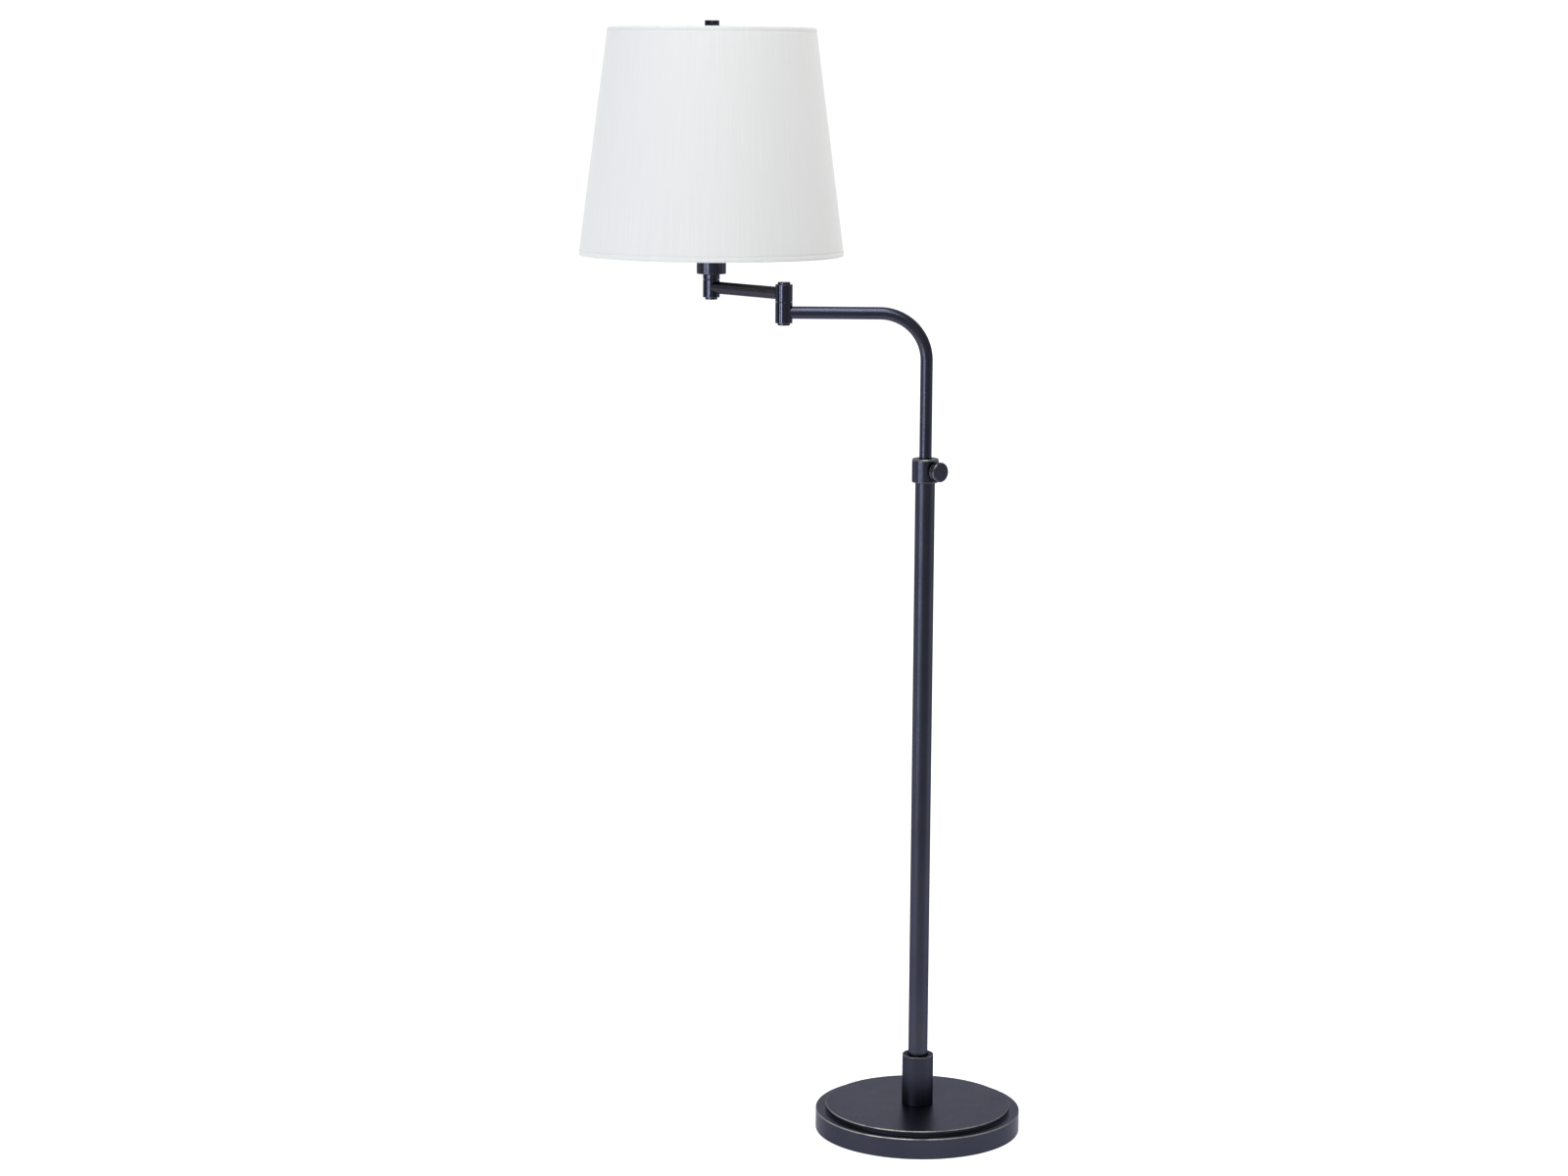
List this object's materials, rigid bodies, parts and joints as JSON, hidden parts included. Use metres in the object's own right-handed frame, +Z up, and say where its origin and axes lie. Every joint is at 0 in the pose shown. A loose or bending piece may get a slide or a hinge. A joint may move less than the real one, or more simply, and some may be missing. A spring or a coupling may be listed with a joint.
{
  "type": "pharmacy floor lamp",
  "caption": "Adjustable reading floor lamp: round weighted base, telescoping pole with thumb screw, bent mast, folding swing arm, swivelling socket and tapered fabric shade.",
  "frame": {"origin": "centre of the base's underside, on the pole's axis", "axes": "+Z up along the pole; the mast reaches towards -X; the swing arm turns back towards +Y"},
  "size_m": [0.5857, 0.4237, 1.4389],
  "materials": {
    "bronze_finish": "dark oil-rubbed bronze, satin, rubbed warm at the edges",
    "cast_weight": "as cast",
    "felt": "pressed felt",
    "zinc_steel": "zinc plated",
    "brass": "satin brass",
    "nylon": "moulded nylon",
    "phenolic": "moulded phenolic",
    "liner_card": "fibre card",
    "bulb_glass": "frosted white",
    "shade_linen": "off-white linen laminate"
  },
  "bodies": {
    "base_and_pole": {"base_cover": "bronze_finish", "base_weight": "cast_weight", "base_felt": "felt", "base_nipple": "zinc_steel", "base_washer": "zinc_steel", "base_nut": "zinc_steel", "cord_grommet": "nylon", "base_collar": "bronze_finish", "pole_foot_plug": "zinc_steel", "lower_pole": "bronze_finish", "pole_guide_bush": "nylon", "clamp_collar": "bronze_finish"},
    "slider": {"guide_sleeve": "nylon"},
    "mast": {"mast_tube": "bronze_finish", "mast_lower_ring": "zinc_steel", "mast_upper_ring": "zinc_steel", "elbow_lower_barrel": "bronze_finish", "elbow_washer": "nylon", "elbow_pivot": "zinc_steel", "elbow_bottom_cap": "bronze_finish", "elbow_top_cap": "bronze_finish"},
    "brake": {"brake_shoe": "brass"},
    "thumb_screw": {"thumb_screw_stud": "zinc_steel", "thumb_screw_knob": "bronze_finish"},
    "swing_arm": {"elbow_upper_barrel": "bronze_finish", "swing_arm_tube": "bronze_finish", "head_barrel": "bronze_finish", "head_washer": "nylon"},
    "head": {"head_bottom_cap": "bronze_finish", "head_pivot": "zinc_steel", "head_neck": "bronze_finish", "socket_cup": "bronze_finish", "socket_lock_nut": "zinc_steel", "harp_saddle": "zinc_steel", "socket_cap": "brass", "socket_shell": "brass", "socket_liner": "liner_card", "socket_insulator": "phenolic", "screw_shell": "brass", "centre_contact": "brass", "bulb_base": "zinc_steel", "bulb_glass": "bulb_glass", "harp_ferrule_left": "brass", "harp_ferrule_right": "brass", "harp": "zinc_steel", "harp_top_stud": "brass", "shade_shell": "shade_linen", "shade_top_ring": "zinc_steel", "shade_bottom_ring": "zinc_steel", "shade_spider": "zinc_steel"},
    "switch": {"switch_shaft": "brass", "switch_knob": "phenolic"},
    "finial_nut": {"finial": "bronze_finish"}
  },
  "joints": [
    {"name": "mast_height", "type": "slide", "parent": "base_and_pole", "child": "slider", "axis": [0, 0, 1], "range_m": [-0.11, 0.2]},
    {"name": "mast_turn", "type": "hinge", "parent": "slider", "child": "mast", "pos_m": [0, 0, 0.6], "axis": [0, 0, 1], "range_deg": [-170, 170]},
    {"name": "thumb_screw_travel", "type": "slide", "parent": "base_and_pole", "child": "brake", "axis": [0.6157, -0.788, 0], "range_m": [0, 0.0015]},
    {"name": "thumb_screw_turn", "type": "hinge", "parent": "brake", "child": "thumb_screw", "pos_m": [0.0104, -0.01332, 0.8719], "axis": [0.6157, -0.788, 0], "range_deg": [0, 540]},
    {"name": "elbow_swing", "type": "hinge", "parent": "mast", "child": "swing_arm", "pos_m": [-0.182, 0, 1.0958], "axis": [0, 0, 1], "range_deg": [-115, 215]},
    {"name": "head_swivel", "type": "hinge", "parent": "swing_arm", "child": "head", "pos_m": [-0.27899, 0.11703, 1.1129], "axis": [0, 0, 1], "range_deg": [-165, 165]},
    {"name": "switch_turn", "type": "hinge", "parent": "head", "child": "switch", "pos_m": [-0.27899, 0.11703, 1.144], "axis": [0, -1, 0], "continuous": true},
    {"name": "finial_turn", "type": "hinge", "parent": "head", "child": "finial_nut", "pos_m": [-0.27899, 0.11703, 1.414], "axis": [0, 0, 1], "continuous": true}
  ],
  "couplings": [
    {"joint": "thumb_screw_turn", "follows": "thumb_screw_travel", "rad_per_m": 6283.2}
  ]
}
